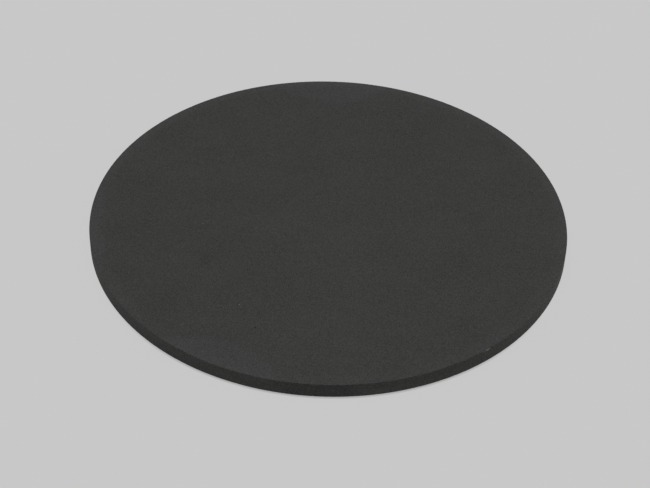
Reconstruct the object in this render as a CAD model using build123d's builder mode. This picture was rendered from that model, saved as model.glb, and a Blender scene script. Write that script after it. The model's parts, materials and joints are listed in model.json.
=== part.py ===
"""A round ceramic sputtering target: one plate, ground flat on both faces and round its rim.

The plate rests on its bonding face. The origin is the centre of that face, and +Z points out of
the face that is sputtered away. Both arrises are broken to a narrow 45 degree flat. The front one
has lost a few small flakes, each of which left a shallow shell-shaped scar across that flat.
"""
from build123d import *
import os
from math import cos, degrees, radians, sin

# The plate, in millimetres
DIAMETER = 101.6
THICKNESS = 3.175
FRONT_EDGE_BREAK = 0.1
BACK_EDGE_BREAK = 0.1

# The chip in the front arris. Angles are in degrees, anticlockwise from +X, lengths run along the
# broken edge, and depths are measured below its flat.
CHIP_ANGLE = -51.3
CHIP_LENGTH = 1.3
CHIP_DEPTH = 0.12

# Two flakes went with the chip, one at each of its ends. Each overlaps the chip. The long one split
# off down the rim, so the ball that cuts its scar leans over towards the side.
EVEN_LEAN = 45
LONG_FLAKE_LENGTH = 1.4
LONG_FLAKE_DEPTH = 0.09
LONG_FLAKE_OVERLAP = 0.55
LONG_FLAKE_LEAN = 20
SHORT_FLAKE_LENGTH = 0.6
SHORT_FLAKE_DEPTH = 0.08
SHORT_FLAKE_OVERLAP = 0.1

# Lone nicks in the same arris
NICK_ANGLES = (-125.7, -114.9, -49.2)
NICK_LENGTH = 0.6
NICK_DEPTH = 0.07


def turn_along_rim(length):
    """The angle that a length along the rim takes up."""
    return degrees(length / (DIAMETER / 2))


def cut_scar(angle, length, depth, lean=EVEN_LEAN):
    """Cut one scar into the front edge's flat with a ball. The lean is the angle above the back
    face at which the ball's centre stands out from the middle of the flat."""
    radius = ((length / 2) ** 2 + depth**2) / (2 * depth)
    flat_middle = FRONT_EDGE_BREAK / 2
    outward = (radius - depth) * cos(radians(lean)) - flat_middle
    upward = (radius - depth) * sin(radians(lean)) - flat_middle
    with Locations(Rotation(0, 0, angle)):
        with Locations((DIAMETER / 2 + outward, 0, THICKNESS + upward)):
            Sphere(radius, mode=Mode.SUBTRACT)


with BuildPart() as target_disc:
    with BuildSketch(Plane.XY):
        Circle(DIAMETER / 2)
    extrude(amount=THICKNESS)

    arrises = target_disc.edges().filter_by(GeomType.CIRCLE).sort_by(Axis.Z)
    chamfer(arrises[-1], FRONT_EDGE_BREAK)
    chamfer(arrises[0], BACK_EDGE_BREAK)

    cut_scar(CHIP_ANGLE, CHIP_LENGTH, CHIP_DEPTH)
    to_long_flake = turn_along_rim((CHIP_LENGTH + LONG_FLAKE_LENGTH) / 2 - LONG_FLAKE_OVERLAP)
    to_short_flake = turn_along_rim((CHIP_LENGTH + SHORT_FLAKE_LENGTH) / 2 - SHORT_FLAKE_OVERLAP)
    cut_scar(CHIP_ANGLE - to_long_flake, LONG_FLAKE_LENGTH, LONG_FLAKE_DEPTH, LONG_FLAKE_LEAN)
    cut_scar(CHIP_ANGLE + to_short_flake, SHORT_FLAKE_LENGTH, SHORT_FLAKE_DEPTH)
    for nick_angle in NICK_ANGLES:
        cut_scar(nick_angle, NICK_LENGTH, NICK_DEPTH)

target_disc.part.label = "target_disc"

os.makedirs("parts", exist_ok=True)
export_step(target_disc.part, "parts/target_disc.step")
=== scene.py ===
import json
from math import cos, pi, radians, sin

import bpy
import numpy as np
from mathutils import Matrix, Vector
from mathutils.geometry import delaunay_2d_cdt


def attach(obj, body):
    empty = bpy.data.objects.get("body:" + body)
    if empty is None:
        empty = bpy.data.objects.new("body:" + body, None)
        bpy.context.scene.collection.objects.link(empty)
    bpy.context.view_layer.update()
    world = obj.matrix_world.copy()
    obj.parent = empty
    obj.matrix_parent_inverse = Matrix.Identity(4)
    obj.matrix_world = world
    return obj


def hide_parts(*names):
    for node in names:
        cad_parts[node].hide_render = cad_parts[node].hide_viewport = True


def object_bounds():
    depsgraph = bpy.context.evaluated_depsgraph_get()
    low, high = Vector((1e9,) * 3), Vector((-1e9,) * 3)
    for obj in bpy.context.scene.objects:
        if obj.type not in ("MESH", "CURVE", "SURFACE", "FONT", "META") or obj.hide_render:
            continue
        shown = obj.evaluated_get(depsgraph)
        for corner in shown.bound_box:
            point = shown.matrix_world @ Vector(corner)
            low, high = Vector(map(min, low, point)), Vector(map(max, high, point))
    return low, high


# A round sputtering target: one plate of dark sintered ceramic, ground on both faces and round its
# rim. It lies on its back face, with +Z out of the front face. Lengths here are in millimetres and
# angles in degrees, and become metres and radians where Blender takes them.
MM = 0.001

# The thickness and the angles of the mesh's columns are rounded to this many digits
DIGITS = 4

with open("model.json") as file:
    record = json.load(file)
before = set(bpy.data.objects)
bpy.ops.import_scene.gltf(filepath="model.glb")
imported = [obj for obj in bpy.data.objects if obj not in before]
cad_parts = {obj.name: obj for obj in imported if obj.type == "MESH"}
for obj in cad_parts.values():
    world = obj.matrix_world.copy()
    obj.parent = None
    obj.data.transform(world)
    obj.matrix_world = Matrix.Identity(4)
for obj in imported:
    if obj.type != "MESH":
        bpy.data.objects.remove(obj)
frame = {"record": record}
cad_low, cad_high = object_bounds()

rim_mount = next(m for m in frame["record"]["mounts"] if m["name"] == "rim")
RADIUS = rim_mount["dims"]["r_mm"]
THICKNESS = round((cad_high.z - cad_low.z) / MM, DIGITS)
EDGE_BREAK = (THICKNESS - rim_mount["dims"]["length_mm"]) / 2

# Flake scars on the front arris, as the solid has them: angle anticlockwise from +X, length along
# the broken edge, depth below its flat, and how high the ball that cuts the scar stands out from it
EVEN_LEAN = 45
CHIP = (-51.3, 1.3, 0.12, EVEN_LEAN)
LONG_FLAKE = (-52.2, 1.4, 0.09, 20)
SMALL_SCARS = (
    (-50.34, 0.6, 0.08, EVEN_LEAN),
    (-49.2, 0.6, 0.07, EVEN_LEAN),
    (-114.9, 0.6, 0.07, EVEN_LEAN),
    (-125.7, 0.6, 0.07, EVEN_LEAN),
)
SCARS = (CHIP, LONG_FLAKE, *SMALL_SCARS)

# Wear that is too fine for the solid: crumbs lost along both arrises in grinding
CRUMBS_PER_ARRIS = 420
CRUMB_LENGTH = (0.18, 0.55)
CRUMB_DEPTH = (0.006, 0.03)

# A fracture face has shell-like ripples that spread from where the flake let go
RIPPLE_HEIGHT = 0.006
RIPPLE_PITCH = 0.16
RIPPLE_FADE = 0.05

# Steps of the mesh round the rim, with finer ones round each scar
RIM_STEP = 0.18
SCAR_STEP = 0.05
SCAR_MARGIN = 0.6

# Edges at which the surface turns by more than this are shaded as sharp
SHARP_ANGLE = 28

# Rows of the mesh across the edge, as distances from the sharp corner that the arris would have
FRONT_ROWS = (EDGE_BREAK, 0.14, 0.18, 0.22, 0.26, 0.32, 0.39, 0.5, 0.9)
BACK_ROWS = (EDGE_BREAK, 0.2, 0.4, 0.9)
MARGIN = FRONT_ROWS[-1]

# Points inside a flat face are further apart the further in they lie
FIRST_SPACING = 0.2
SPACING_GROWTH = 1.45
WIDEST_SPACING = 3.5

# The points of a flat face are joined by triangles that stay inside its outline, which is what 1
# asks of Blender, and points closer than the length given here are merged
STAY_INSIDE = 1
MERGE_WITHIN = 1e-6

# Marks on the face keep this far from the margin and from each other. The points that fill the
# face keep away from a mark's middle by this many times its width.
MARK_INSET = 1
MARK_SPACING = 1.5
MARK_CLEARANCE = 1.2

# Pores that the grinding opened: place on the face, width and depth. The depth of a fine one is a
# share of its width.
PORES = ((-13.9, -35.33, 0.38, 0.22), (-16.93, -30.25, 0.34, 0.17))
FINE_PORES = 46
FINE_PORE_WIDTH = (0.1, 0.22)
FINE_PORE_DEPTH = 0.35
PORE_SIDES = 12
PORE_JITTER = (0.85, 1.15)

# Rings of points that shape a pore: share of its half width, and share of its depth
PORE_RINGS = ((1.6, 0), (1.0, 0), (0.8, 0.45), (0.44, 0.9))

# Pale grains that lie flush in the face: place, width along X, and width across as a share of it.
# The core is the share of a grain within which the mesh's triangles are pale.
GRAINS = ((-17.45, -28.79, 0.27, 0.9), (-26.55, -3.63, 0.22, 1.2), (-28.31, -35.1, 0.5, 0.16))
FINE_GRAINS = 30
FINE_GRAIN_WIDTH = (0.08, 0.15)
GRAIN_SIDES = 9
GRAIN_JITTER = (0.8, 1.15)
GRAIN_CORE = 0.9

# Material slots of the plate's mesh, and the regions of its surface
FACE, RIM, FRACTURE, GRAIN = range(4)
FRONT_REGION, RIM_REGION, BACK_REGION = range(3)

# The layout of the surface on its map: both faces as discs, each with its middle and radius, and
# the rim as strips
FRONT_DISC = (0.36, 0.36, 0.355)
BACK_DISC = (0.77, 0.77, 0.225)
STRIPS = 6
STRIP_START = (0.004, 0.745)
STRIP_SIZE = (0.528, 0.034)
STRIP_PITCH = 0.042

SEED = 11


def polar(radius, angle):
    """A point on the XY plane."""
    return radius * cos(radians(angle)), radius * sin(radians(angle))


def rim_angles():
    """The angles of the mesh's columns: even, and finer across each scar."""
    spans = []
    for angle, length, _, _ in SCARS:
        half = np.degrees(length / 2 / RADIUS) + SCAR_MARGIN
        spans.append(((angle - half) % 360, (angle + half) % 360))
    even = np.arange(0, 360, RIM_STEP)
    angles = [a for a in even if not any(low < a < high for low, high in spans)]
    for low, high in spans:
        angles += list(np.arange(low, high, SCAR_STEP))
    angles = np.unique(np.round(angles, DIGITS))
    keep = np.append(True, np.diff(angles) > SCAR_STEP / 2)
    return angles[keep]


def edge_rows():
    """(radius, height) of each row of the mesh, from the front face's margin round to the back's."""
    half = EDGE_BREAK / 2
    rows = [(RADIUS - inset, THICKNESS) for inset in reversed(FRONT_ROWS)]
    rows.append((RADIUS - half, THICKNESS - half))
    rows += [(RADIUS, THICKNESS - drop) for drop in FRONT_ROWS]
    rows += [(RADIUS, rise) for rise in reversed(BACK_ROWS)]
    rows.append((RADIUS - half, half))
    rows += [(RADIUS - inset, 0) for inset in BACK_ROWS]
    return rows


def scar_ball(angle, length, depth, lean, front=True):
    """(centre, radius) of the ball that cuts a scar into the flat of the front or the back arris."""
    ball = ((length / 2) ** 2 + depth**2) / (2 * depth)
    outward, upward = polar(ball - depth, lean)
    x, y = polar(RADIUS - EDGE_BREAK / 2 + outward, angle)
    z = THICKNESS - EDGE_BREAK / 2 + upward
    return np.array((x, y, z if front else THICKNESS - z)), ball


def carve(points, centre, ball):
    """Press the points that lie inside the ball onto its rippled surface, and say which they were."""
    from_centre = points - centre
    distance = np.linalg.norm(from_centre, axis=1)
    inside = distance < ball
    if inside.any():
        way = from_centre[inside] / distance[inside, None]
        fade = np.clip((ball - distance[inside]) / RIPPLE_FADE, 0, 1)
        start = points[inside][np.argmin(distance[inside])]
        travel = np.linalg.norm(points[inside] - start, axis=1)
        wave = RIPPLE_HEIGHT * fade * np.sin(2 * pi * travel / RIPPLE_PITCH)
        points[inside] = centre + way * (ball + wave)[:, None]
    return inside


def face_filling(marks):
    """Points inside a flat face, as rings that thin out inwards, clear of the round marks on it."""
    points = [(0, 0)]
    spacing = FIRST_SPACING
    radius = RADIUS - MARGIN - spacing
    while radius > WIDEST_SPACING / 2:
        count = round(2 * pi * radius / spacing)
        points += [polar(radius, 360 * k / count) for k in range(count)]
        spacing = min(spacing * SPACING_GROWTH, WIDEST_SPACING)
        radius -= spacing
    points = np.array(points)
    for x, y, width in marks:
        apart = np.hypot(points[:, 0] - x, points[:, 1] - y)
        points = points[apart > MARK_CLEARANCE * width]
    return [tuple(p) for p in points]


def scattered(rng, count, width_range, taken):
    """Seeded places and widths of small marks, spread evenly over the face and clear of the rest."""
    reach = RADIUS - MARGIN - MARK_INSET
    marks = []
    while len(marks) < count:
        x, y = polar(reach * rng.random() ** 0.5, 360 * rng.random())
        width = rng.uniform(*width_range)
        if all(np.hypot(x - mark[0], y - mark[1]) > MARK_SPACING for mark in (*taken, *marks)):
            marks.append((x, y, width))
    return marks


def in_grain(place, grain):
    """Whether a place on the face lies on a pale grain."""
    x, y, width, share = grain
    return np.hypot(place.x - x, (place.y - y) / share) < GRAIN_CORE * width / 2


def fill_face(points, loop, height, pores, grains, rng):
    """Close a flat face inside the loop, with its pores sunk and its grains marked."""
    flat = [tuple(p) for p in points[loop][:, :2]]
    flat += face_filling([(x, y, width) for x, y, width, _ in pores + grains])
    sink = [0.0] * len(flat)
    for x, y, width, depth in pores:
        for reach_share, depth_share in PORE_RINGS:
            for k in range(PORE_SIDES):
                reach = width / 2 * reach_share * rng.uniform(*PORE_JITTER)
                dx, dy = polar(reach, 360 * k / PORE_SIDES)
                flat.append((x + dx, y + dy))
                sink.append(depth * depth_share)
        flat.append((x, y))
        sink.append(depth)
    for x, y, width, share in grains:
        for k in range(GRAIN_SIDES):
            dx, dy = polar(width / 2 * rng.uniform(*GRAIN_JITTER), 360 * k / GRAIN_SIDES)
            flat.append((x + dx, y + dy * share))
            sink.append(0.0)
        flat.append((x, y))
        sink.append(0.0)

    flat = [Vector(p) for p in flat]
    outline = list(range(len(loop)))
    corners, _, triangles, sources, _, _ = delaunay_2d_cdt(
        flat, [], [outline], STAY_INSIDE, MERGE_WITHIN, True
    )
    number, added = [], []
    for corner, source in zip(corners, sources):
        if source[0] < len(loop):
            number.append(loop[source[0]])
        else:
            number.append(len(points) + len(added))
            added.append((corner.x, corner.y, height - sink[source[0]]))
    faces, slots = [], []
    for triangle in triangles:
        middle = sum((corners[k] for k in triangle), Vector((0, 0))) / 3
        faces.append(tuple(number[k] for k in triangle))
        slots.append(GRAIN if any(in_grain(middle, grain) for grain in grains) else FACE)
    return np.vstack([points, added]), faces, slots


def plate_mesh():
    """The whole plate as one closed mesh: points, and the corners, slot and region of each face."""
    rng = np.random.default_rng(SEED)
    angles = rim_angles()
    rows = edge_rows()
    across = len(angles)
    points = np.array([(*polar(radius, a), height) for radius, height in rows for a in angles])
    faces, slots, regions = [], [], []
    for row in range(len(rows) - 1):
        if row < len(FRONT_ROWS) - 1:
            slot, region = FACE, FRONT_REGION
        elif row >= len(rows) - len(BACK_ROWS):
            slot, region = FACE, BACK_REGION
        else:
            slot, region = RIM, RIM_REGION
        here, below = row * across, (row + 1) * across
        for k in range(across):
            j = (k + 1) % across
            faces.append((here + k, below + k, below + j, here + j))
        slots += [slot] * across
        regions += [region] * across

    in_chip = carve(points, *scar_ball(*LONG_FLAKE))
    in_chip |= carve(points, *scar_ball(*CHIP))
    for scar in SMALL_SCARS:
        carve(points, *scar_ball(*scar))
    for front in (True, False):
        for _ in range(CRUMBS_PER_ARRIS):
            angle = 360 * rng.random()
            length = rng.uniform(*CRUMB_LENGTH)
            depth = rng.uniform(*CRUMB_DEPTH)
            carve(points, *scar_ball(angle, length, depth, EVEN_LEAN, front))
    slots = [FRACTURE if in_chip[list(f)].any() else s for f, s in zip(faces, slots)]

    fine_pores = scattered(rng, FINE_PORES, FINE_PORE_WIDTH, PORES + GRAINS)
    pores = [*PORES, *((x, y, width, FINE_PORE_DEPTH * width) for x, y, width in fine_pores)]
    fine_grains = scattered(rng, FINE_GRAINS, FINE_GRAIN_WIDTH, [*GRAINS, *pores])
    grains = [*GRAINS, *((x, y, width, 1) for x, y, width in fine_grains)]

    front_loop = list(range(across))
    back_loop = list(range((len(rows) - 1) * across, len(rows) * across))
    points, front, front_slots = fill_face(points, front_loop, THICKNESS, pores, grains, rng)
    points, back, back_slots = fill_face(points, back_loop, 0, [], [], rng)
    faces += front + [tuple(reversed(f)) for f in back]
    slots += front_slots + back_slots
    regions += [FRONT_REGION] * len(front) + [BACK_REGION] * len(back)
    return points, faces, slots, regions


def add_map(mesh, points, regions):
    """Lay the surface out on a map: the front face large, the back face small, the rim in strips."""
    totals = np.empty(len(mesh.polygons), int)
    mesh.polygons.foreach_get("loop_total", totals)
    corners = np.empty(len(mesh.loops), int)
    mesh.loops.foreach_get("vertex_index", corners)
    region = np.repeat(regions, totals)
    owner = np.repeat(np.arange(len(totals)), totals)
    x, y, z = points[corners].T
    angle = np.degrees(np.arctan2(y, x)) % 360

    where = np.empty((len(corners), 2))
    for kind, disc, way in ((FRONT_REGION, FRONT_DISC, 1), (BACK_REGION, BACK_DISC, -1)):
        on = region == kind
        where[on, 0] = disc[0] + way * disc[2] * x[on] / RADIUS
        where[on, 1] = disc[1] + disc[2] * y[on] / RADIUS

    first = np.concatenate([[0], np.cumsum(totals)[:-1]])
    away = (angle - angle[first][owner] + 180) % 360 - 180
    strip = np.floor(angle[first] / (360 / STRIPS))[owner]
    along = (angle[first][owner] + away) / (360 / STRIPS) - strip
    on = region == RIM_REGION
    where[on, 0] = STRIP_START[0] + STRIP_SIZE[0] * along[on]
    tilt = np.clip((RADIUS - np.hypot(x, y)) / EDGE_BREAK, 0, 1) * EDGE_BREAK
    up = np.where(z > THICKNESS / 2, z + tilt, z - tilt) + EDGE_BREAK
    share = up / (THICKNESS + 2 * EDGE_BREAK)
    where[on, 1] = STRIP_START[1] + STRIP_PITCH * strip[on] + STRIP_SIZE[1] * share[on]
    mesh.uv_layers.new(name="OFBake").data.foreach_set("uv", where.ravel())


def build_plate():
    points, faces, slots, regions = plate_mesh()
    mesh = bpy.data.meshes.new("ceramic_plate")
    mesh.from_pydata([tuple(p) for p in points * MM], [], faces)
    mesh.polygons.foreach_set("material_index", slots)
    add_map(mesh, points, regions)
    mesh.shade_smooth()
    mesh.set_sharp_from_angle(angle=radians(SHARP_ANGLE))
    plate = bpy.data.objects.new("ceramic_plate", mesh)
    bpy.context.scene.collection.objects.link(plate)
    return plate


# The ceramic's colours. What a material shows is its colour times a tone round 1.
CERAMIC = (0.0331, 0.0329, 0.0315)
BLUE_GREY = (0.0325, 0.0329, 0.0325)
PALE = (0.1, 0.1, 0.0915)
SPECULAR = 0.1

# The crystals of the ceramic: their size, and how far their tones and hues differ
CRYSTAL_SIZE = 0.13
CRYSTAL_TONES = 0.93
CRYSTAL_HUES = 0.11

# Seeds of the grain on the faces and on the rim, and what is added to them for the hues
FACE_SEED = 0
RIM_SEED = 2
HUE_SEED = 40

# Other tones that vary over the surface: strength, the size of one patch along each axis, detail and
# seed. The grit takes the grain's seed. The tones of the rim run along it, then up it.
GRIT = (0.5, (0.1, 0.1, 0.1), 1)
FACE_CLOUDS = (0.2, (9, 8, 9), 2, 3)
FACE_LAY = (0.13, (9, 0.35, 1), 1, 5)
RIM_LINES = (0.45, (6, 0.09, 1), 1, 0)
RIM_CLOUDS = (0.1, (5, 2, 1), 2, 4)
GRAIN_MOTTLE = (0.6, (0.08, 0.08, 0.08), 0, 8)

# The face has painted light in a band along its edge, and more at its brim, most of all towards
# +Y. The brim's hue is cooler too, by a share of the way to blue-grey. Each ramp has where it
# starts, where it is full, and the two values that it runs between.
FACE_TONE = 1.005
PAINTED_EDGE_LIGHT = (3.3, 1.8, 0, 0.04)
PAINTED_BRIM_LIGHT = (3.0, 0.5, 0, 0.06)
COOL_BRIM = (3.0, 0.8, 0, 0.45)
BRIM_RISE = (-40, 30, 0.3, 1.6)

# Blue-grey blooms near the face's edge: place of the patch's middle, which lies beyond the edge, its
# radius, the width of its soft border, and the bloom's strength
BLOOMS = ((0, 58.6, 16.2, 2, 1), (-25.4, -56.2, 17.8, 2, 1), (-104, -10.9, 57.5, 1.6, 0.4))
BLOOM_TONE = 0.1

# The face is a little paler in its middle, has painted light at its front and painted shade at its
# back, and a few dull smudges lie towards -X: place, reach, soft border and tone of each
PATCHES = (
    (3, -4, 15, 22, 0.035),
    (-3, -40, 15, 22, 0.045),
    (16, 30, 9, 20, -0.03),
    (-33.3, -29.3, 3, 6, -0.065),
    (-30.6, -25.2, 3, 6, -0.045),
    (-25.2, -14.4, 2.4, 6, -0.07),
    (-45.5, -5.5, 2.2, 5, -0.04),
)

# The rim's tone, and how much stronger its grain is than the face's. The rim has painted shade where
# it faces -Y, and so have its broken arrises, over a wider turn.
RIM_TONE = 1.145
RIM_GRAIN = 1.38
SHADE_ANGLE = -91.5
SHADE_REACH = 9
SHADE_SOFTNESS = 8
SHADE_TONE = -0.21
ARRIS_SHADE_TONE = -0.33
ARRIS_BORDER = 0.03
ARRIS_REACH = 45
ARRIS_SOFTNESS = 30

# Two stretches of the rim have painted light and shade that change with height, one paler and one
# darker towards the top: azimuth, reach, soft border, and the change of tone from the foot to the top
RIM_SLOPES = ((-137, 20, 12, 0.08), (-74, 15, 12, -0.11))
SLOPE_FOOT = 0.7
SLOPE_TOP = 2.5

# The bare fracture is paler: not at all from the first distance off the ball that cut it, and fully
# up to the second
FRACTURE_TONE = 0.28
FRACTURE_BORDER = (0.03, 0.008)

# The fracture has a painted highlight in one narrow place: azimuth and depth below the face of its
# middle, with half its length and half its height, each with a soft border
GLINT_ANGLE = -51.2
GLINT_REACH = 0.75
GLINT_SOFTNESS = 0.2
GLINT_DEPTH = 0.205
GLINT_HEIGHT = 0.07
GLINT_BORDER = 0.03
GLINT_TONE = 2.0

# Roughness, with the shares of the tones above that change it
FACE_ROUGHNESS = 0.74
GRAIN_POLISH = -0.1
CLOUD_DULLING = 0.2
RIM_ROUGHNESS = 0.72
LINE_DULLING = 0.2
FRACTURE_ROUGHNESS = 0.6

# Relief: its full height, and the grain's share of it
FACE_RELIEF = 0.008
FACE_GRAIN_RELIEF = 0.5
RIM_RELIEF = 0.012
RIM_GRAIN_RELIEF = 0.25
FRACTURE_RELIEF = 0.02
FRACTURE_GRAIN_RELIEF = 0.8

# The sockets of Blender's Mix node that take and give vectors
MIX_A, MIX_B, MIX_RESULT = 4, 5, 1


class Surface:
    """A material, with short calls that add its nodes."""

    def __init__(self, name):
        self.material = bpy.data.materials.new(name)
        self.material.use_nodes = True
        self.tree = self.material.node_tree
        self.shader = self.tree.nodes["Principled BSDF"]
        self.shader.inputs["Specular IOR Level"].default_value = SPECULAR
        place = self.tree.nodes.new("ShaderNodeTexCoord").outputs["Object"]
        self.place = self.vector("SCALE", place, 1 / MM)
        parts = self.tree.nodes.new("ShaderNodeSeparateXYZ")
        self.feed(parts.inputs[0], self.place)
        self.x, self.y, self.z = parts.outputs
        self.turn = self.math("ARCTAN2", self.y, self.x)

    def feed(self, socket, value):
        if isinstance(value, bpy.types.NodeSocket):
            self.tree.links.new(value, socket)
        else:
            socket.default_value = value

    def math(self, operation, a, b=0.0):
        node = self.tree.nodes.new("ShaderNodeMath")
        node.operation = operation
        self.feed(node.inputs[0], a)
        self.feed(node.inputs[1], b)
        return node.outputs[0]

    def vector(self, operation, a, b, result="Vector"):
        node = self.tree.nodes.new("ShaderNodeVectorMath")
        node.operation = operation
        self.feed(node.inputs[0], a)
        self.feed(node.inputs["Scale" if operation == "SCALE" else 1], b)
        return node.outputs[result]

    def total(self, *terms):
        result = terms[0]
        for term in terms[1:]:
            result = self.math("ADD", result, term)
        return result

    def times(self, a, b):
        return self.math("MULTIPLY", a, b)

    def ramp(self, value, start, end, low, high):
        """A soft step from low at the start to high at the end."""
        node = self.tree.nodes.new("ShaderNodeMapRange")
        node.interpolation_type = "SMOOTHSTEP"
        for socket, given in zip(node.inputs, (value, start, end, low, high)):
            self.feed(socket, given)
        return node.outputs[0]

    def near(self, value, middle, reach, softness):
        """1 where the value is within reach of the middle, and 0 beyond, with a soft border."""
        apart = self.math("ABSOLUTE", self.math("SUBTRACT", value, middle))
        return self.ramp(apart, reach + softness / 2, reach - softness / 2, 0, 1)

    def noise(self, strength, size, detail, seed, place=None):
        """Tones round zero, in soft patches."""
        scaled = self.vector("DIVIDE", place or self.place, size)
        node = self.tree.nodes.new("ShaderNodeTexNoise")
        self.feed(node.inputs["Vector"], self.vector("ADD", scaled, (seed, seed, seed)))
        node.inputs["Scale"].default_value = 1
        node.inputs["Detail"].default_value = detail
        return self.times(self.math("SUBTRACT", node.outputs[0], 0.5), strength)

    def crystals(self, seed):
        """A random colour for each of the crystals, which fill the material as small cells."""
        scaled = self.vector("SCALE", self.place, 1 / CRYSTAL_SIZE)
        node = self.tree.nodes.new("ShaderNodeTexVoronoi")
        self.feed(node.inputs["Vector"], self.vector("ADD", scaled, (seed, seed, seed)))
        node.inputs["Scale"].default_value = 1
        return node.outputs["Color"]

    def grain(self, seed):
        """The tone of the sintered ceramic's grain: crystals, with finer grit over them."""
        tones = self.times(self.math("SUBTRACT", self.crystals(seed), 0.5), CRYSTAL_TONES)
        return self.total(tones, self.noise(*GRIT, seed))

    def tinted(self, colour, seed):
        """The colour, with a slightly different hue for each crystal."""
        apart = self.vector("SUBTRACT", self.crystals(seed + HUE_SEED), (0.5, 0.5, 0.5))
        factors = self.vector("ADD", self.vector("SCALE", apart, CRYSTAL_HUES), (1, 1, 1))
        return self.vector("MULTIPLY", colour, factors)

    def facing_front(self, reach, softness):
        """1 on the part of the rim that faces -Y, and 0 beyond the reach, with a soft border."""
        return self.near(self.turn, radians(SHADE_ANGLE), radians(reach), radians(softness))

    def inset(self):
        """Distance in from the rim."""
        squares = self.total(self.times(self.x, self.x), self.times(self.y, self.y))
        return self.math("SUBTRACT", RADIUS, self.math("SQRT", squares))

    def arris(self):
        """Painted shade on the broken arrises that face -Y, and none on the upright rim."""
        share = self.facing_front(ARRIS_REACH, ARRIS_SOFTNESS)
        return self.times(share, self.ramp(self.inset(), 0, ARRIS_BORDER, 0, ARRIS_SHADE_TONE))

    def patch(self, x, y, reach, softness, strength):
        """The strength inside a round patch and 0 outside it, with a soft border."""
        flat = self.vector("MULTIPLY", self.place, (1, 1, 0))
        apart = self.vector("DISTANCE", flat, (x, y, 0), "Value")
        return self.times(self.near(apart, 0, reach, softness), strength)

    def slope(self, azimuth, reach, softness, tone):
        """Painted light and shade that change with the height up the rim, round one azimuth."""
        share = self.near(self.turn, radians(azimuth), radians(reach), radians(softness))
        return self.times(share, self.ramp(self.z, SLOPE_FOOT, SLOPE_TOP, -tone / 2, tone / 2))

    def within(self, scar):
        """1 on the surface that the scar's ball cut, and 0 off it."""
        centre, ball = scar_ball(*scar)
        apart = self.vector("DISTANCE", self.place, tuple(centre), "Value")
        none, full = FRACTURE_BORDER
        return self.ramp(apart, ball + none, ball + full, 0, 1)

    def unrolled(self):
        """Place on the rim with the rim unrolled: arc and height."""
        node = self.tree.nodes.new("ShaderNodeCombineXYZ")
        self.feed(node.inputs[0], self.times(self.turn, RADIUS))
        self.feed(node.inputs[1], self.z)
        return node.outputs[0]

    def blend(self, share, a, b):
        """Colour a where the share is 0, and colour b where it is 1."""
        node = self.tree.nodes.new("ShaderNodeMix")
        node.data_type = "VECTOR"
        self.feed(node.inputs["Factor"], share)
        self.feed(node.inputs[MIX_A], a)
        self.feed(node.inputs[MIX_B], b)
        return node.outputs[MIX_RESULT]

    def paint(self, colour, tone):
        self.feed(self.shader.inputs["Base Color"], self.vector("SCALE", colour, tone))

    def roughen(self, roughness):
        self.feed(self.shader.inputs["Roughness"], roughness)

    def relief(self, height, distance):
        """Bump from a height that is given as a share of the distance, in millimetres."""
        node = self.tree.nodes.new("ShaderNodeBump")
        node.inputs["Distance"].default_value = distance * MM
        self.feed(node.inputs["Height"], height)
        self.feed(self.shader.inputs["Normal"], node.outputs[0])


def ground_face():
    """The ground face: fine sinter grain, a faint lay along X, cloudy patches, a paler border."""
    s = Surface("ground_face")
    inset = s.inset()
    grain = s.grain(FACE_SEED)
    clouds = s.noise(*FACE_CLOUDS)
    lay = s.noise(*FACE_LAY)
    bloom = s.total(*(s.patch(*patch) for patch in BLOOMS))
    # Painted light along the face's edge, more at its brim towards +Y, with the blue-grey blooms
    # added
    brim = s.times(s.ramp(inset, *PAINTED_BRIM_LIGHT), s.ramp(s.y, *BRIM_RISE))
    edge = s.total(s.ramp(inset, *PAINTED_EDGE_LIGHT), brim, s.times(bloom, BLOOM_TONE))
    # The patches hold painted light at the face's front and painted shade at its back
    patches = s.total(*(s.patch(*patch) for patch in PATCHES))
    tone = s.total(FACE_TONE, grain, clouds, lay, edge, patches)
    cool = s.total(bloom, s.ramp(inset, *COOL_BRIM))
    s.paint(s.tinted(s.blend(cool, CERAMIC, BLUE_GREY), FACE_SEED), tone)
    s.roughen(s.total(FACE_ROUGHNESS, s.times(grain, GRAIN_POLISH), s.times(clouds, CLOUD_DULLING)))
    s.relief(s.total(s.times(grain, FACE_GRAIN_RELIEF), lay), FACE_RELIEF)
    return s.material


def ground_rim():
    """The rim: the same grain, with grinding lines that run round it."""
    s = Surface("ground_rim")
    unrolled = s.unrolled()
    grain = s.times(s.grain(RIM_SEED), RIM_GRAIN)
    lines = s.noise(*RIM_LINES, unrolled)
    clouds = s.noise(*RIM_CLOUDS, unrolled)
    # Painted shade where the rim faces -Y, and on its arrises
    shade = s.facing_front(SHADE_REACH, SHADE_SOFTNESS)
    # Painted light and shade up two stretches of the rim
    slopes = s.total(*(s.slope(*slope) for slope in RIM_SLOPES))
    tone = s.total(RIM_TONE, grain, lines, clouds, s.times(shade, SHADE_TONE), s.arris(), slopes)
    s.paint(s.tinted(CERAMIC, RIM_SEED), tone)
    s.roughen(s.total(RIM_ROUGHNESS, s.times(lines, LINE_DULLING)))
    s.relief(s.total(s.times(grain, RIM_GRAIN_RELIEF), lines), RIM_RELIEF)
    return s.material


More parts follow.
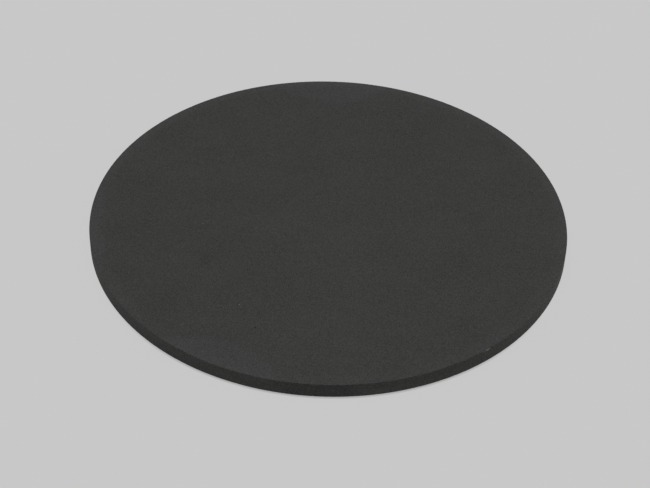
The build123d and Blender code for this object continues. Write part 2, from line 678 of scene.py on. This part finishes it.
def chipped_arris():
    """The arris where the chip and its long flake split off: never ground, so paler and rougher."""
    s = Surface("chipped_arris")
    grain = s.times(s.grain(RIM_SEED), RIM_GRAIN)
    scar = s.math("MAXIMUM", s.within(CHIP), s.within(LONG_FLAKE))
    whole = s.math("SUBTRACT", 1, scar)
    # A painted highlight on one narrow place of the fracture
    along = s.near(s.turn, radians(GLINT_ANGLE), radians(GLINT_REACH), radians(GLINT_SOFTNESS))
    up = s.near(s.z, THICKNESS - GLINT_DEPTH, GLINT_HEIGHT, GLINT_BORDER)
    glint = s.times(s.times(along, up), s.times(scar, GLINT_TONE))
    # Where the arris is unbroken it keeps its painted shade
    tone = s.total(RIM_TONE, grain, s.times(scar, FRACTURE_TONE), glint, s.times(whole, s.arris()))
    s.paint(CERAMIC, tone)
    s.roughen(s.ramp(scar, 0, 1, RIM_ROUGHNESS, FRACTURE_ROUGHNESS))
    share = s.ramp(scar, 0, 1, RIM_GRAIN_RELIEF, FRACTURE_GRAIN_RELIEF)
    s.relief(s.times(grain, share), FRACTURE_RELIEF)
    return s.material


def pale_grain():
    """A coarse pale grain of the ceramic, cut flush by the grinding."""
    s = Surface("pale_grain")
    s.paint(PALE, s.total(1, s.noise(*GRAIN_MOTTLE)))
    s.roughen(FRACTURE_ROUGHNESS)
    return s.material


plate = build_plate()
for make in (ground_face, ground_rim, chipped_arris, pale_grain):
    plate.data.materials.append(make())

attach(plate, "root")
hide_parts("target_disc")

# The stage: a pale floor that runs into a backdrop of the same tone. The floor gives most of its
# light itself, so that the plate's shadow stays faint, with a painted contact shadow at the plate's
# front.
# Light levels are what a white surface that lies flat would send back.
BACKDROP = 0.578
FLOOR_GLOW = 0.96
FLOOR_WIDTH = 6000
FLOOR_GAP = 0.02
CONTACT_REACH = 0.6
CONTACT_SHADOW_LOSS = 0.3
CONTACT_TURN = 45
CONTACT_SOFTNESS = 40

RIGHT_AZIMUTH = 35
RIGHT_LEVEL = 0.045
LEFT_AZIMUTH = 145
LEFT_LEVEL = 0.01
SIDE_ELEVATION = 10
SIDE_SOFTNESS = 18
TOP_AZIMUTH = 90
TOP_ELEVATION = 90
TOP_LEVEL = 0.468
TOP_SOFTNESS = 60


def build_floor():
    half = FLOOR_WIDTH / 2 * MM
    corners = [(-half, -half, 0), (half, -half, 0), (half, half, 0), (-half, half, 0)]
    mesh = bpy.data.meshes.new("floor")
    mesh.from_pydata(corners, [], [(0, 1, 2, 3)])
    floor = bpy.data.objects.new("floor", mesh)
    floor.location.z = -FLOOR_GAP * MM
    bpy.context.scene.collection.objects.link(floor)
    paper = Surface("floor_paper")
    own = (1 - FLOOR_GLOW) * BACKDROP / (BACKDROP + RIGHT_LEVEL + LEFT_LEVEL + TOP_LEVEL)
    glow = FLOOR_GLOW * BACKDROP
    # A contact shadow painted into the floor's glow along the plate's front
    beside = paper.ramp(paper.inset(), -CONTACT_REACH, 0, 0, CONTACT_SHADOW_LOSS * glow)
    shadow = paper.times(beside, paper.facing_front(CONTACT_TURN, CONTACT_SOFTNESS))
    paper.shader.inputs["Base Color"].default_value = (own, own, own, 1)
    paper.shader.inputs["Specular IOR Level"].default_value = 0
    paper.shader.inputs["Roughness"].default_value = 1
    paper.shader.inputs["Emission Color"].default_value = (1, 1, 1, 1)
    paper.feed(paper.shader.inputs["Emission Strength"], paper.math("SUBTRACT", glow, shadow))
    mesh.materials.append(paper.material)
    return floor


def add_sun(name, azimuth, elevation, level, softness):
    """A soft distant light that gives a flat lying surface the level asked for."""
    lamp = bpy.data.lights.new(name, "SUN")
    lamp.energy = level * pi / sin(radians(elevation))
    lamp.angle = radians(softness)
    holder = bpy.data.objects.new(name, lamp)
    x, y = polar(cos(radians(elevation)), azimuth)
    holder.rotation_mode = "QUATERNION"
    holder.rotation_quaternion = Vector((x, y, sin(radians(elevation)))).to_track_quat("Z", "Y")
    bpy.context.scene.collection.objects.link(holder)


build_floor()
add_sun("light_right", RIGHT_AZIMUTH, SIDE_ELEVATION, RIGHT_LEVEL, SIDE_SOFTNESS)
add_sun("light_left", LEFT_AZIMUTH, SIDE_ELEVATION, LEFT_LEVEL, SIDE_SOFTNESS)
add_sun("light_above", TOP_AZIMUTH, TOP_ELEVATION, TOP_LEVEL, TOP_SOFTNESS)

world = bpy.data.worlds.new("studio")
world.use_nodes = True
world.node_tree.nodes["Background"].inputs["Color"].default_value = (BACKDROP, BACKDROP, BACKDROP, 1)
bpy.context.scene.world = world

view = bpy.context.scene.view_settings
view.view_transform = "Standard"
view.look = "None"

# The camera looks along +Y and down, rolled a little
ELEVATION = 40.188
ROLL = 1.5946
DISTANCE = 340.55
AIM = (-0.62, -5.52, 0)
LENS = 88.76
SENSOR = 36


def build_camera():
    camera = bpy.data.objects.new("camera", bpy.data.cameras.new("camera"))
    camera.data.lens = LENS
    camera.data.sensor_width = SENSOR
    back = Vector((0, -cos(radians(ELEVATION)), sin(radians(ELEVATION))))
    level = Vector((1, 0, 0))
    up = back.cross(level)
    right = cos(radians(ROLL)) * level + sin(radians(ROLL)) * up
    axes = Matrix((right, back.cross(right), back)).transposed().to_4x4()
    camera.matrix_world = Matrix.Translation((Vector(AIM) + back * DISTANCE) * MM) @ axes
    bpy.context.scene.collection.objects.link(camera)
    return camera


bpy.context.scene.camera = build_camera()
